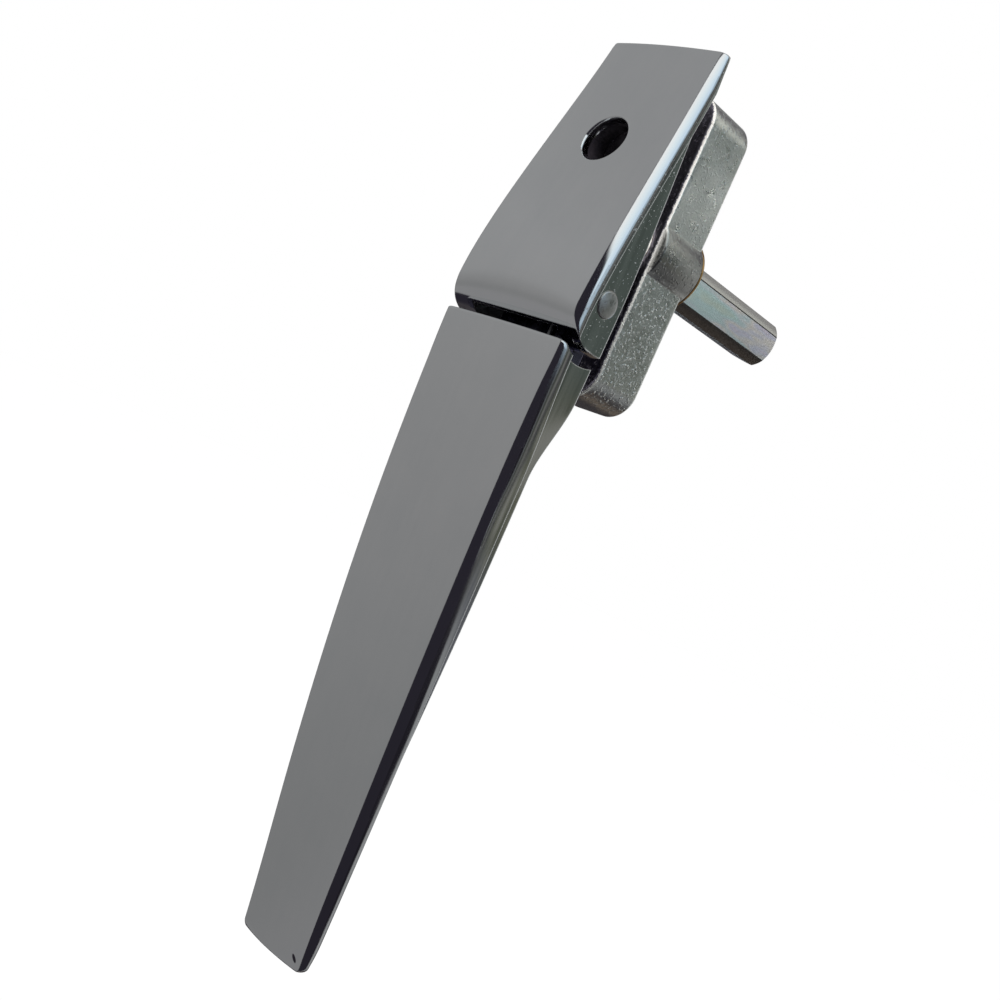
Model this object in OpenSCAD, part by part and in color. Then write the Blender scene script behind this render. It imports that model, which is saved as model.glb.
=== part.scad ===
// Folding lever handle for a bifold door.
// A cast base is fixed in the door. The head and its square spindle turn in the base,
// and the lever folds out from the head about a cross pin.
// Frame: X across the handle, Y into the door, Z up, in millimetres.
// The origin is on the spindle's axis, in the front face of the base.

/* [Base casting] */
// Width of the base casting
base_w = 18.7; // [17.5:0.1:22]
// Length of the base casting
base_len = 65; // [58:0.5:80]
// Depth of the base casting, front face to rear face
base_depth = 13.4; // [10:0.1:20]
// Radius of the four upright corners
base_corner_r = 5.8; // [2:0.1:8]
// Chamfer on the front and rear edges of the base
base_edge = 0.5; // [0.2:0.1:1]
// Radius of the rounded sides of the boss at the spindle
boss_r = 8.2; // [8.1:0.1:10]
// How far the centres of these rounded sides lie from the spindle's axis
boss_offset = 2.9; // [2:0.1:4]
// How far the boss stands out behind the base
boss_proud = 0.5; // [0.2:0.1:2]
// Distance between the two fixing holes
fixing_pitch = 44; // [40:0.5:50]
// Tapping diameter of a fixing hole
fixing_d = 5; // [3.3:0.1:6.8]

/* [Bearing] */
// Diameter of the head's neck where it turns in the bush
journal_d = 13.8; // [13.4:0.1:13.9]
// Diameter of the neck in front of the base
collar_d = 15.6; // [15.2:0.1:16]
// Wall of the bronze bush
bush_wall = 0.9; // [0.7:0.1:1]
// Thickness of the bush's flange
flange_t = 0.5; // [0.3:0.1:1]
// Thickness of the thrust washer in front of the base
thrust_t = 0.5; // [0.3:0.1:1]
// Thickness of the washer behind the base
rear_washer_t = 0.8; // [0.5:0.1:1.5]
// Thickness of the retaining ring
ring_t = 1.1; // [0.8:0.1:1.5]
// Depth of the ring's groove
ring_groove = 0.4; // [0.3:0.05:0.5]
// Radial clearance of a running fit
run_clear = 0.04; // [0.02:0.01:0.08]
// Clearance between faces that slide on each other
face_clear = 0.05; // [0.02:0.01:0.2]

/* [Spindle] */
// Size of the square spindle across its flats
spindle_af = 10; // [8.4:0.1:10.4]
// Diameter of the spindle across its rounded corners
spindle_corner_d = 11.8; // [11.2:0.1:12]
// How far the spindle reaches past the base's rear face
spindle_reach = 41.5; // [20:0.5:80]
// Chamfer at the spindle's free end
spindle_chamfer = 1.5; // [0.5:0.1:2]
// Angle of the spindle's flats to the handle
spindle_turn = 10.4; // [0:0.1:45]
// Diameter of the roll pin that holds the spindle in the neck
roll_pin_d = 3; // [2:0.1:3.5]
// Wall of the roll pin
roll_pin_wall = 0.6; // [0.4:0.1:0.8]

/* [Head] */
// Height of the head's top end above the spindle's axis
head_top = 36.4; // [32:0.1:45]
// Gap between the base and the back of the head
head_gap = 7.8; // [6:0.1:8.5]
// Height of the head's face above the base at its top end
head_top_rise = 10.3; // [9.8:0.1:11.5]
// Height of the head's face above the base at its nose
head_nose_rise = 20.95; // [20:0.05:22]
// Width of the head's face at its top end
head_top_w = 27.2; // [24:0.1:32]
// Width of the head's face at its nose
head_nose_w = 32.6; // [31:0.1:36]
// Thickness of the head's face plate
head_skin = 3; // [2:0.1:3.2]
// Thickness of the head's side cheeks
cheek_t = 3.2; // [2.5:0.1:4]
// Depth of the head's rim
head_rim_depth = 3.4; // [2.8:0.1:4.5]
// Radius of the nose about the hinge pin
nose_r = 10.1; // [9.6:0.1:10.4]
// How far below the pin the face plate ends
lip_drop = 7.6; // [7:0.1:8]
// Diameter of the lock barrel's hole
lock_d = 9.5; // [8:0.1:10.4]
// Height of the lock hole above the spindle's axis
lock_z = 14.1; // [13:0.1:16]
// Wall round the lock hole behind the face plate
lock_wall = 2; // [1.5:0.1:2.5]
// Thickness of the wall that closes the lock hole at the back
lock_floor = 1.5; // [1:0.1:2.5]
// Diameter of the hole for the lock's bolt in that wall
lock_bolt_d = 4; // [2:0.1:6]

/* [Hinge] */
// Diameter of the hinge pin
pin_d = 5.2; // [4.4:0.1:5.6]
// Distance of the pin in front of the base
pin_y = 12.1; // [11.9:0.1:12.3]
// Distance of the pin below the spindle's axis
pin_drop = 15.95; // [15.5:0.05:16.5]
// Depth of the domed ends of the pin
pin_dome = 0.4; // [0.2:0.1:0.8]
// Radius of the lever's knuckle
knuckle_r = 4.2; // [4:0.1:4.3]
// Thickness of each hinge washer
hinge_washer_t = 1; // [0.6:0.1:1.5]
// Thickness of the lever's tongue
tongue_t = 3; // [2:0.1:3.4]
// Wire of the return spring
wire_d = 0.9; // [0.6:0.05:1]
// Turns of the return spring
spring_turns = 7; // [4:1:7]

/* [Lever] */
// Distance of the lever's tip below the spindle's axis
lever_tip = 153.7; // [130:0.5:190]
// Height of the lever's face above the base at its hinge
lever_root_rise = 20.4; // [19.8:0.1:21]
// Height of the lever's face above the base at its tip
lever_tip_rise = 8.7; // [8:0.1:12]
// Width of the lever's face at its hinge
lever_root_w = 31; // [29:0.1:34]
// Width of the lever's face at its tip
lever_tip_w = 17.8; // [14:0.1:26]
// Radius of the tip's corners
tip_r = 1.3; // [0.8:0.1:3]
// Radius of the lever's corners next to the head
root_r = 0.6; // [0.4:0.1:2]
// Thickness of the lever's face plate
lever_skin = 2.7; // [2:0.1:3]
// Thickness of the lever's side walls
lever_wall = 2.6; // [2:0.1:3.5]
// Depth of the lever's rim at its hinge
lever_rim_root = 4; // [3.6:0.1:5]
// Depth of the lever's rim where its deep end has faded out
lever_rim_waist = 5.2; // [4.4:0.1:5.6]
// Depth of the lever's rim at its tip
lever_rim_tip = 2.3; // [2:0.1:3]
// Gap between the nose and the lever's hollow end
nose_gap = 2.3; // [1.5:0.1:3]
// Length of the deep end of the lever below the pin
deep_len = 18; // [16:0.5:24]
// Height of the lever's back above the base where the deep end has faded out
waist_rise = 10.9; // [10:0.1:11.5]
// Height of the lever's back above the base at its tip
tip_back_rise = 6; // [5.5:0.1:6.5]
// Thickness of the cross ribs in the lever's back
rib_t = 2; // [1.5:0.1:3]

/* [Edges] */
// Width of the rolled edge beside each face
bevel_w = 1.1; // [0.5:0.1:1.6]
// Depth of the rolled edge beside the head's face
bevel_drop = 2.4; // [1.2:0.1:3]
// Depth of the rolled edge of the lever next to the head
lever_drop_root = 1; // [0.6:0.1:2]
// Depth of the rolled edge further down the lever
lever_drop = 3; // [2:0.1:3.2]
// Length over which the lever's rolled edge deepens
lever_drop_run = 27; // [15:1:40]
// How far the side walls lie inside the edge of the face
wall_inset = 1.2; // [0.8:0.1:2]
// Crown of the head's face across its width
head_crown = 0.9; // [0:0.1:1.5]
// Crown of the lever's face across its width
lever_crown = 0.9; // [0:0.1:1.5]

/* [Hidden] */
$fn = 64;
eps = 0.01;
cut = 50;

// Stations along the two lofts and points across their faces
head_steps = 20;
lever_steps = 34;
face_steps = 12;
tip_steps = 4;
root_steps = 4;
// Least distance between two stations, and steps in the search for a height on a curve
row_gap = 1;
share_steps = 24;
// Where a cavity that is open at the back ends
open_back = 1;
// Points on one turn of the spring and sides of its wire
coil_steps = 14;
wire_sides = 8;
// How far pieces of one casting run into each other
join = 0.5;

// Guide points of the face curves: shares of the way from one end to the other, for height, rise and width
head_guides = [[0.326, 0.31, 0.426], [0.752, 0.939, 1.11]];
lever_guides = [[0.333, 0.01, 0.045], [0.667, 0.466, 0.4]];
// Where the rolled edge has its middle point, as shares of its width and depth
bevel_mid = [0.7, 0.42];
// Largest share of a rim that its rolled edge takes up
bevel_share = 0.75;
// Slope of the rim's underside
rim_under = 0.3;

base_rear = base_depth;
boss_rear = base_rear + boss_proud;
flange_rear = boss_rear + flange_t;
rear_washer_y = flange_rear + face_clear;
ring_y = rear_washer_y + rear_washer_t + face_clear;
neck_lip = 0.8;
neck_end = ring_y + ring_t + neck_lip;
bore_r = journal_d / 2 + run_clear;
bush_r = bore_r + bush_wall;
flange_inset = 0.1;
washer_lap = 0.6;
rear_washer_r = bush_r + washer_lap;
ring_wall = 1.4;
ring_opening = 2.4;
shoulder_y = -(thrust_t + 2 * face_clear);
head_back = -head_gap;
pin_z = -pin_drop;
face_pin_y = -pin_y;

// Head
head_end_z = pin_z - nose_r;
nose_run = 4;
nose_z = pin_z - nose_run;
head_curve = guide_curve(
    [head_top, -head_top_rise, head_top_w / 2], [nose_z, -head_nose_rise, head_nose_w / 2], head_guides);
cheek_in = head_nose_w / 2 - wall_inset - cheek_t;
hub_len = 7.8;
hub_front = head_back - hub_len;
socket_wall = 2.5;
socket_front = hub_front + socket_wall;
socket_play = 0.5;
spindle_front = socket_front + socket_play;
roll_pin_sunk = 0.4;
roll_pin_half = collar_d / 2 - roll_pin_sunk;
roll_pin_slit = 0.6;
lock_r = lock_d / 2;
lock_boss_r = lock_r + lock_wall;
lock_boss_len = 5;
lock_boss_front = head_back - lock_boss_len;
head_rib_t = 2.4;
head_rib_sunk = 2;
head_rib_back = head_back - head_rib_sunk;
head_end_wall = 3.2;

// Hinge
knuckle_half = cheek_in - hinge_washer_t - 2 * face_clear;
knuckle_bore_r = pin_d / 2 + run_clear;
pin_half = curve_at(head_curve, curve_share(head_curve, pin_z))[2] - wall_inset;
heel_reach = 6.2;
heel_top = 4.3;
// Return spring: gap between turns, play round it, where its last turn ends, and how far its legs reach
coil_gap = 0.1;
spring_play = 0.3;
coil_end = 220;
leg_reach = 6.6;
tongue_leg_reach = 9.5;
spring_r = pin_d / 2 + wire_d / 2 + spring_play;
spring_pitch = wire_d + coil_gap;
spring_span = spring_pitch * (spring_turns + coil_end / 360);
spring_half = spring_span / 2 + wire_d / 2 + spring_play;
slot_play = 0.6;
spring_slot_z = pin_z - knuckle_r - slot_play;

// Lever
hollow_r = nose_r + nose_gap;
lever_top_drop = 9.95;
lever_top_z = pin_z - lever_top_drop;
curve_lead = 1.95;
lever_start_z = lever_top_z + curve_lead;
lever_curve = guide_curve(
    [lever_start_z, -lever_root_rise, lever_root_w / 2], [-lever_tip, -lever_tip_rise, lever_tip_w / 2],
    lever_guides);
deep_z = pin_z - deep_len;
waist_len = 17;
waist_z = deep_z - waist_len;
cavity_top = deep_z - 1;
tip_solid = 12;
cavity_end = -lever_tip + tip_solid;
cavity_steps = 18;
rib_sunk = 1;
tongue_root = cavity_top - join;
tongue_back = face_pin_y + knuckle_r;

// Four guide points of a curve between two ends
function guide_curve(a, b, shares) = [a, a + blend(b - a, shares[0]), a + blend(b - a, shares[1]), b];
function blend(v, share) = [for (i = [0:2]) v[i] * share[i]];
// Point of a cubic curve
function curve_at(p, t) =
    p[0] * pow(1 - t, 3) + p[1] * 3 * t * pow(1 - t, 2) + p[2] * 3 * t * t * (1 - t) + p[3] * pow(t, 3);
// Share of the way along a curve at which it reaches a height
function curve_share(p, z, low = 0, high = 1, left = share_steps) =
    let (mid = (low + high) / 2)
    left == 0 ? mid
        : curve_at(p, mid)[0] > z ? curve_share(p, z, mid, high, left - 1)
        : curve_share(p, z, low, mid, left - 1);
function mix(a, b, t) = a + (b - a) * t;
function smooth(t) = t * t * (3 - 2 * t);
function clamp01(t) = min(1, max(0, t));

// Right-hand side of a section, from the edge of the face to the back.
// s holds height, rise and half width.
function side_points(s, rim, back, roll) =
    let (drop = min(roll, bevel_share * rim))
    let (wall = s[2] - wall_inset)
    [
        [s[2], s[1]],
        [s[2] + bevel_mid[0] * bevel_w, s[1] + bevel_mid[1] * drop],
        [s[2] + bevel_w, s[1] + drop],
        [s[2] + bevel_w, s[1] + rim],
        [wall, s[1] + rim + rim_under],
        [wall, max(back, s[1] + rim + 2 * rim_under)]
    ];
// One closed section of a casting at its own height
function section(s, rim, back, crown, roll) =
    let (side = side_points(s, rim, back, roll))
    let (last = len(side) - 1)
    [
        for (i = [last:-1:1]) [-side[i][0], side[i][1], s[0]],
        for (i = [0:face_steps])
            let (k = 2 * i / face_steps - 1)
            [k * s[2], s[1] - crown * (1 - k * k), s[0]],
        for (i = [1:last]) [side[i][0], side[i][1], s[0]]
    ];
// One section of a cavity that is open at the back
function cavity_section(s, skin, wall, back) =
    let (x = s[2] - wall_inset - wall)
    [[-x, back, s[0]], [-x, s[1] + skin, s[0]], [x, s[1] + skin, s[0]], [x, back, s[0]]];

function head_rim(s) = min(head_rim_depth, head_back - s[1] - 2 * rim_under);
function lever_rim(z) =
    let (down = clamp01((lever_top_z - z) / (lever_tip + lever_top_z)))
    let (near = smooth(clamp01((lever_top_z - z) / lever_drop_run)))
    mix(mix(lever_rim_root, lever_rim_waist, near), lever_rim_tip, down * down);
// Back edge of the lever: deep at the hinge, a waist, then straight to the tip
function lever_back(z) =
    z > waist_z
        ? mix(head_back, -waist_rise, smooth(clamp01((deep_z - z) / (deep_z - waist_z))))
        : mix(-waist_rise, -tip_back_rise, (waist_z - z) / (waist_z + lever_tip));

// Solid through a row of sections
module loft(rows) {
    n = len(rows[0]);
    m = len(rows);
    polyhedron(
        points = [for (row = rows) each row],
        faces = [
            [for (i = [n - 1:-1:0]) i],
            for (j = [0:m - 2]) for (i = [0:n - 1])
                let (a = j * n + i)
                let (b = j * n + (i + 1) % n)
                each [[a, b, b + n], [a, b + n, a + n]],
            [for (i = [0:n - 1]) (m - 1) * n + i]
        ],
        convexity = 6);
}

// Cylinder along Y, from y0 to y1
module rod_y(r, y0, y1) {
    translate([0, y0, 0]) rotate([-90, 0, 0]) cylinder(r = r, h = y1 - y0);
}
// Cylinder along X through the hinge, from x0 to x1
module rod_x(r, x0, x1) {
    translate([x0, face_pin_y, pin_z]) rotate([0, 90, 0]) cylinder(r = r, h = x1 - x0);
}
// Box between two corners
module box(a, b) {
    translate(a) cube(b - a);
}
// Rounded square of the spindle, grown by a clearance
module spindle_outline(grow) {
    intersection() {
        square(spindle_af + 2 * grow, center = true);
        circle(d = spindle_corner_d + 2 * grow);
    }
}
// Bar along Y with the spindle's section
module spindle_bar(grow, y0, y1) {
    rotate([0, spindle_turn, 0]) translate([0, y0, 0]) rotate([-90, 0, 0])
        linear_extrude(y1 - y0) spindle_outline(grow);
}

module base_outline(inset) {
    r = base_corner_r - inset;
    x = base_w / 2 - base_corner_r;
    z = base_len / 2 - base_corner_r;
    for (sx = [-1, 1]) for (sz = [-1, 1]) translate([sx * x, sz * z]) circle(r = r);
    square([2 * (x + r), 2 * z], center = true);
    square([2 * x, 2 * (z + r)], center = true);
}
module base_slab(inset, y0, y1) {
    translate([0, y0, 0]) rotate([-90, 0, 0]) linear_extrude(y1 - y0) base_outline(inset);
}
// Block with a chamfer round its front and rear edges
module base_block() {
    hull() {
        base_slab(base_edge, 0, base_rear, $fn = 32);
        base_slab(0, base_edge, base_rear - base_edge, $fn = 32);
    }
}
// Boss with two rounded sides, coaxial with the spindle
module boss_slab(inset, y0, y1) {
    r = boss_r - inset;
    translate([0, y0, 0]) rotate([-90, 0, 0]) linear_extrude(y1 - y0) {
        for (s = [-1, 1]) translate([s * boss_offset, 0]) circle(r = r);
        square([2 * boss_offset, 2 * r], center = true);
    }
}
module base_casting() {
    color("#6f746e") difference() {
        union() {
            base_block();
            boss_slab(0, base_edge, boss_rear);
        }
        rod_y(bush_r, -1, boss_rear + 1);
        for (s = [-1, 1]) translate([0, 0, s * fixing_pitch / 2]) rod_y(fixing_d / 2, -1, base_rear + 1);
    }
}

module bearing_bush() {
    color("#b8864a") difference() {
        union() {
            rod_y(bush_r - eps, 0, boss_rear);
            boss_slab(flange_inset, boss_rear, flange_rear);
        }
        rod_y(bore_r, -1, flange_rear + 1);
    }
}

module thrust_washer() {
    color("#e6e2d6") difference() {
        rod_y(collar_d / 2, -face_clear - thrust_t, -face_clear);
        rod_y(bore_r, -2 * thrust_t - 1, 1);
    }
}

module rear_washer() {
    color("#b9bcc0") difference() {
        rod_y(rear_washer_r, rear_washer_y, rear_washer_y + rear_washer_t);
        rod_y(bore_r, rear_washer_y - 1, rear_washer_y + rear_washer_t + 1);
    }
}

module retaining_ring() {
    color("#55585c") difference() {
        rod_y(journal_d / 2 + ring_wall, ring_y, ring_y + ring_t);
        rod_y(journal_d / 2 - ring_groove + eps, ring_y - 1, ring_y + ring_t + 1);
        box([-ring_opening / 2, ring_y - 1, 0], [ring_opening / 2, ring_y + ring_t + 1, cut]);
    }
}

module spindle() {
    tip = base_rear + spindle_reach;
    taper = tip - spindle_chamfer;
    r = spindle_corner_d / 2;
    color("#a9b4b8") difference() {
        intersection() {
            spindle_bar(0, spindle_front, tip);
            rotate([-90, 0, 0]) rotate_extrude() polygon([
                [0, hub_front], [cut, hub_front], [cut, taper],
                [r, taper], [r - spindle_chamfer, tip], [0, tip]]);
        }
        roll_pin_hole();
    }
}

// Cross hole for the roll pin through the neck, halfway between head and base
module roll_pin_hole() {
    translate([-cut / 2, head_back / 2, 0]) rotate([0, 90, 0]) cylinder(d = roll_pin_d + 2 * eps, h = cut);
}
module spindle_roll_pin() {
    len = 2 * roll_pin_half;
    color("#8d9196") translate([-roll_pin_half, head_back / 2, 0]) rotate([0, 90, 0]) difference() {
        cylinder(d = roll_pin_d, h = len);
        translate([0, 0, -1]) cylinder(d = roll_pin_d - 2 * roll_pin_wall, h = len + 2);
        box([0, -roll_pin_slit / 2, -1], [cut, roll_pin_slit / 2, len + 1]);
    }
}

// Outer skin of the head, run on past the nose
module head_skin_loft() {
    rows = [
        for (i = [0:head_steps])
            let (s = curve_at(head_curve, i / head_steps))
            section(s, head_rim(s), head_back, head_crown, bevel_drop),
        let (s = [head_end_z - 1, -head_nose_rise, head_nose_w / 2])
            section(s, head_rim(s), head_back, head_crown, bevel_drop)
    ];
    loft(rows);
}
module head_cavity() {
    from = curve_share(head_curve, head_top - head_end_wall);
    rows = [
        for (i = [0:head_steps])
            cavity_section(curve_at(head_curve, mix(from, 1, i / head_steps)), head_skin, cheek_t, open_back),
        cavity_section([head_end_z - 2, -head_nose_rise, head_nose_w / 2], head_skin, cheek_t, open_back)
    ];
    loft(rows);
}
module head_casting() {
    head_rib_x = cheek_in - join;
    color("#8f9396") difference() {
        union() {
            difference() {
                intersection() {
                    head_skin_loft();
                    union() {
                        box([-cut, -cut, pin_z], [cut, cut, head_top + 1]);
                        rod_x(nose_r, -cut, cut);
                    }
                }
                head_cavity();
                box([-cheek_in, -cut, -cut], [cheek_in, cut, pin_z - lip_drop]);
            }
            rod_y(collar_d / 2, hub_front, shoulder_y);
            rod_y(journal_d / 2, shoulder_y - 1, neck_end);
            translate([0, 0, lock_z]) rod_y(lock_boss_r, lock_boss_front, head_back);
            box([-head_rib_x, hub_front, -head_rib_t / 2], [head_rib_x, head_rib_back, head_rib_t / 2]);
        }
        translate([0, 0, lock_z]) {
            rod_y(lock_r, -cut, head_back - lock_floor);
            rod_y(lock_bolt_d / 2, -cut, head_back + 1);
        }
        spindle_bar(face_clear, socket_front, neck_end + 1);
        roll_pin_hole();
        rod_x(pin_d / 2 + eps, -cut, cut);
        difference() {
            rod_y(cut, ring_y - face_clear, ring_y + ring_t + face_clear);
            rod_y(journal_d / 2 - ring_groove, ring_y - 1, ring_y + ring_t + 1);
        }
    }
}

module hinge_pin() {
    color("#9a9c9c") {
        rod_x(pin_d / 2, -pin_half + pin_dome, pin_half - pin_dome);
        for (s = [-1, 1]) translate([s * (pin_half - pin_dome), face_pin_y, pin_z]) rotate([0, s * 90, 0])
            cylinder(r1 = pin_d / 2, r2 = pin_d / 2 - pin_dome, h = pin_dome);
    }
}

module hinge_washers() {
    color("#3c3d40") for (s = [-1, 1]) {
        mid = s * (knuckle_half + face_clear + hinge_washer_t / 2);
        difference() {
            rod_x(knuckle_r, mid - hinge_washer_t / 2, mid + hinge_washer_t / 2);
            rod_x(knuckle_bore_r, -cut, cut);
        }
    }
}

// Station of the lever's loft, with the corners of the tip rounded in plan
function lever_station(t) = curve_at(lever_curve, t);
function tip_station(a) =
    let (s = lever_station(1))
    [s[0] + tip_r * (1 - sin(a)), s[1], s[2] - tip_r * (1 - cos(a))];
function root_station(a) =
    let (z = lever_top_z - root_r * (1 - cos(a)))
    let (s = lever_station(curve_share(lever_curve, z)))
    [z, s[1], s[2] - root_r * (1 - sin(a))];
function lever_roll(z) =
    mix(lever_drop_root, lever_drop, smooth(clamp01((lever_top_z - z) / lever_drop_run)));
function lever_section(s, less = 0) =
    section(s, lever_rim(s[0]) - less, lever_back(s[0]) - less, lever_crown, lever_roll(s[0]));
module lever_skin_loft() {
    start = lever_top_z - root_r;
    stop = -lever_tip + tip_r;
    loft([
        for (i = [0:root_steps])
            lever_section(root_station(90 * i / root_steps)),
        for (i = [0:lever_steps])
            let (s = lever_station(i / lever_steps))
            if (s[0] < start - row_gap && s[0] > stop + row_gap)
            lever_section(s),
        for (i = [0:tip_steps])
            let (a = 90 * i / tip_steps)
            lever_section(tip_station(a), tip_r * (1 - cos(a)))
    ]);
}
module lever_cavity() {
    from = curve_share(lever_curve, cavity_top);
    to = curve_share(lever_curve, cavity_end);
    loft([
        for (i = [0:cavity_steps])
            cavity_section(lever_station(mix(from, to, i / cavity_steps)), lever_skin, lever_wall, open_back)
    ]);
}
module lever_ribs() {
    for (k = [1, 2]) {
        z = mix(cavity_top, cavity_end, k / 3);
        s = lever_station(curve_share(lever_curve, z));
        x = s[2] - wall_inset - lever_wall + join;
        box([-x, s[1] + lever_skin - join, z - rib_t / 2], [x, lever_back(z) - rib_sunk, z + rib_t / 2]);
    }
}
// Tongue and knuckle that reach between the cheeks to the pin
module lever_tongue() {
    box([-knuckle_half, tongue_back - tongue_t, tongue_root], [knuckle_half, tongue_back, pin_z]);
    rod_x(knuckle_r, -knuckle_half, knuckle_half);
    box([-knuckle_half, face_pin_y - heel_top, pin_z], [knuckle_half, face_pin_y, pin_z + heel_reach]);
}
module lever_casting() {
    color("#8a8e91") difference() {
        union() {
            difference() {
                lever_skin_loft();
                lever_cavity();
                rod_x(hollow_r, -cut, cut);
            }
            lever_ribs();
            lever_tongue();
        }
        rod_x(knuckle_bore_r, -cut, cut);
        box([-spring_half, -cut, spring_slot_z], [spring_half, cut, cut]);
    }
}

// Route of the spring's wire: a leg on the face plate, the coil, and a leg on the tongue
function coil_point(turn, a) = [
    spring_pitch * (turn + a / 360) - spring_span / 2,
    face_pin_y - spring_r * cos(a),
    pin_z + spring_r * sin(a)
];
function spring_route() =
    let (first = coil_point(0, 0))
    let (last = coil_point(spring_turns, coil_end))
    let (plate_y = -head_nose_rise + head_skin + wire_d / 2 + face_clear)
    let (tongue_y = tongue_back - tongue_t - wire_d / 2 - face_clear)
    let (steps = floor(coil_steps * (spring_turns + coil_end / 360)))
    [
        [first[0], plate_y, pin_z - leg_reach],
        for (i = [0:steps])
            let (a = 360 * i / coil_steps)
            coil_point(floor(a / 360), a % 360),
        [last[0], tongue_y - spring_play, spring_slot_z + wire_d / 2],
        [last[0], tongue_y, pin_z - tongue_leg_reach]
    ];
// Ring of points round the wire at one point of its route
function wire_ring(p, dir) =
    let (d = dir / norm(dir))
    let (u0 = cross(d, [1, 0.02, 0.03]))
    let (u = u0 / norm(u0))
    let (v = cross(d, u))
    [
        for (i = [0:wire_sides - 1])
            let (a = 360 * i / wire_sides)
            p + wire_d / 2 * (u * cos(a) + v * sin(a))
    ];
module lever_spring() {
    route = spring_route();
    n = len(route);
    color("#7d8187") loft([
        for (i = [0:n - 1]) wire_ring(route[i], route[min(i + 1, n - 1)] - route[max(i - 1, 0)])
    ]);
}

base_casting();
bearing_bush();
thrust_washer();
head_casting();
spindle();
spindle_roll_pin();
rear_washer();
retaining_ring();
hinge_pin();
hinge_washers();
lever_casting();
lever_spring();
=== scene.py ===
import math

import bpy
import numpy as np
from mathutils import Matrix, Vector
from mathutils.bvhtree import BVHTree
from mathutils.interpolate import poly_3d_calc


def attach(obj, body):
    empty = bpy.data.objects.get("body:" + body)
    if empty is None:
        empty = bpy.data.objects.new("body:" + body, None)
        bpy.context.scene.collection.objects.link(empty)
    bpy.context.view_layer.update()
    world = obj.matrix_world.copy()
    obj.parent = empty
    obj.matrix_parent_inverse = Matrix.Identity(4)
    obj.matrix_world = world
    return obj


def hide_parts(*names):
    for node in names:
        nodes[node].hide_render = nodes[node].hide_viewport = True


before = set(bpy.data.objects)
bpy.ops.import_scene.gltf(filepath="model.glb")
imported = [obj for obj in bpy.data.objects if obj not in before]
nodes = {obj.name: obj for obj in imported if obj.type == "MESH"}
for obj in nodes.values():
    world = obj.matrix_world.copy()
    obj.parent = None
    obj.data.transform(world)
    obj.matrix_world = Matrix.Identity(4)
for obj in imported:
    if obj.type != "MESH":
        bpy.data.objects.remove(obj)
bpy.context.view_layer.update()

# Sizes in millimetres, in the frame of the solids: X across, Y into the door, Z up.
MM = 0.001
PIN_Y, PIN_Z = -12.1, -15.95
HEAD_TOP, HEAD_BACK = 36.4, -7.8
NOSE_R, LIP_DROP, CHEEK_IN = 10.1, 7.6, 11.9
LOCK_R, LOCK_Z = 4.75, 14.1
LEVER_TOP, LEVER_TIP = PIN_Z - 9.95, -153.7
HOLLOW_R = 12.4
BEVEL_W, INSET, CROWN = 1.1, 1.2, 0.9
PIN_R, PIN_CHAMFER, PIN_DOME = 2.6, 0.25, 0.2
HEAD_TOP_EDGE, HEAD_WALL, HEAD_FACE = 0.45, 3.2, 3
LOCK_LIP, LOCK_LIP_DEPTH, LOCK_WALL = 0.56, 1.4, 2
NECK_R, NECK_FRONT, NECK_SHOULDER, HUB_R, HUB_END = 7.8, -15.6, -0.6, 6.9, 17.2
LEVER_TOP_EDGE, LEVER_TIP_R, LEVER_WALL, LEVER_FACE = 0.4, 1.3, 2.6, 2.7
WAIST_BACK, TIP_BACK = -10.9, -6.0
CAVITY_TOP, CAVITY_END = PIN_Z - 19, LEVER_TIP + 12
KNUCKLE_R, TONGUE_W, TONGUE_END, SLOT_W = 4.2, 10.8, PIN_Z - 19.5, 4.65
BASE_W, BASE_H, BASE_D, BASE_CORNER, BASE_EDGE = 9.35, 32.5, 13.4, 5.8, 0.8
BOSS_R, BOSS_OFFSET, BUSH_R = 8.2, 2.9, 7.84
FIXING_R, FIXING_Z = 2.5, 22
FLOOR_HALF, FLOOR_Z = 3000, -200


# Shapes

def guided(a, b, shares):
    """Height, rise and half width along a cubic curve, as two functions of height."""
    a, b = np.array(a), np.array(b)
    p = [a, a + (b - a) * np.array(shares[0]), a + (b - a) * np.array(shares[1]), b]
    t = np.linspace(0, 1, 1500)[:, None]
    c = p[0] * (1 - t) ** 3 + 3 * p[1] * t * (1 - t) ** 2 + 3 * p[2] * t * t * (1 - t) + p[3] * t**3
    c = c[np.argsort(c[:, 0])]
    return lambda z: np.interp(z, c[:, 0], c[:, 1]), lambda z: np.interp(z, c[:, 0], c[:, 2])


head_y, head_w = guided(
    [HEAD_TOP, -10.3, 13.6], [PIN_Z - 4, -20.95, 16.3], [[0.326, 0.31, 0.426], [0.752, 0.939, 1.11]])
lever_y, lever_w = guided(
    [PIN_Z - 8, -20.4, 15.5], [LEVER_TIP, -8.7, 8.9], [[0.333, 0.01, 0.045], [0.667, 0.466, 0.4]])


def mix(a, b, t):
    return a + (b - a) * t


def clamp(t):
    return min(1.0, max(0.0, t))


def head_rim(z):
    return min(3.4, HEAD_BACK - float(head_y(z)) - 0.6)


def lever_roll(z):
    """How fully the edge of the lever is rolled: little at the hinge, in full further down."""
    t = clamp((LEVER_TOP - z) / 27)
    return t * t * (3 - 2 * t)


def lever_rim(z):
    down = clamp((LEVER_TOP - z) / (LEVER_TOP - LEVER_TIP))
    return mix(mix(4.0, 5.2, lever_roll(z)), 2.3, down * down)


def lever_back(z):
    deep = PIN_Z - 18
    waist = deep - 17
    if z > waist:
        t = clamp((deep - z) / (deep - waist))
        return mix(HEAD_BACK, WAIST_BACK, t * t * (3 - 2 * t))
    return mix(WAIST_BACK, TIP_BACK, (waist - z) / (waist - LEVER_TIP))


def smooth_max(a, b, k):
    h = np.maximum(k - np.abs(a - b), 0) / k
    return np.maximum(a, b) + h * h * k / 4


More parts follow.
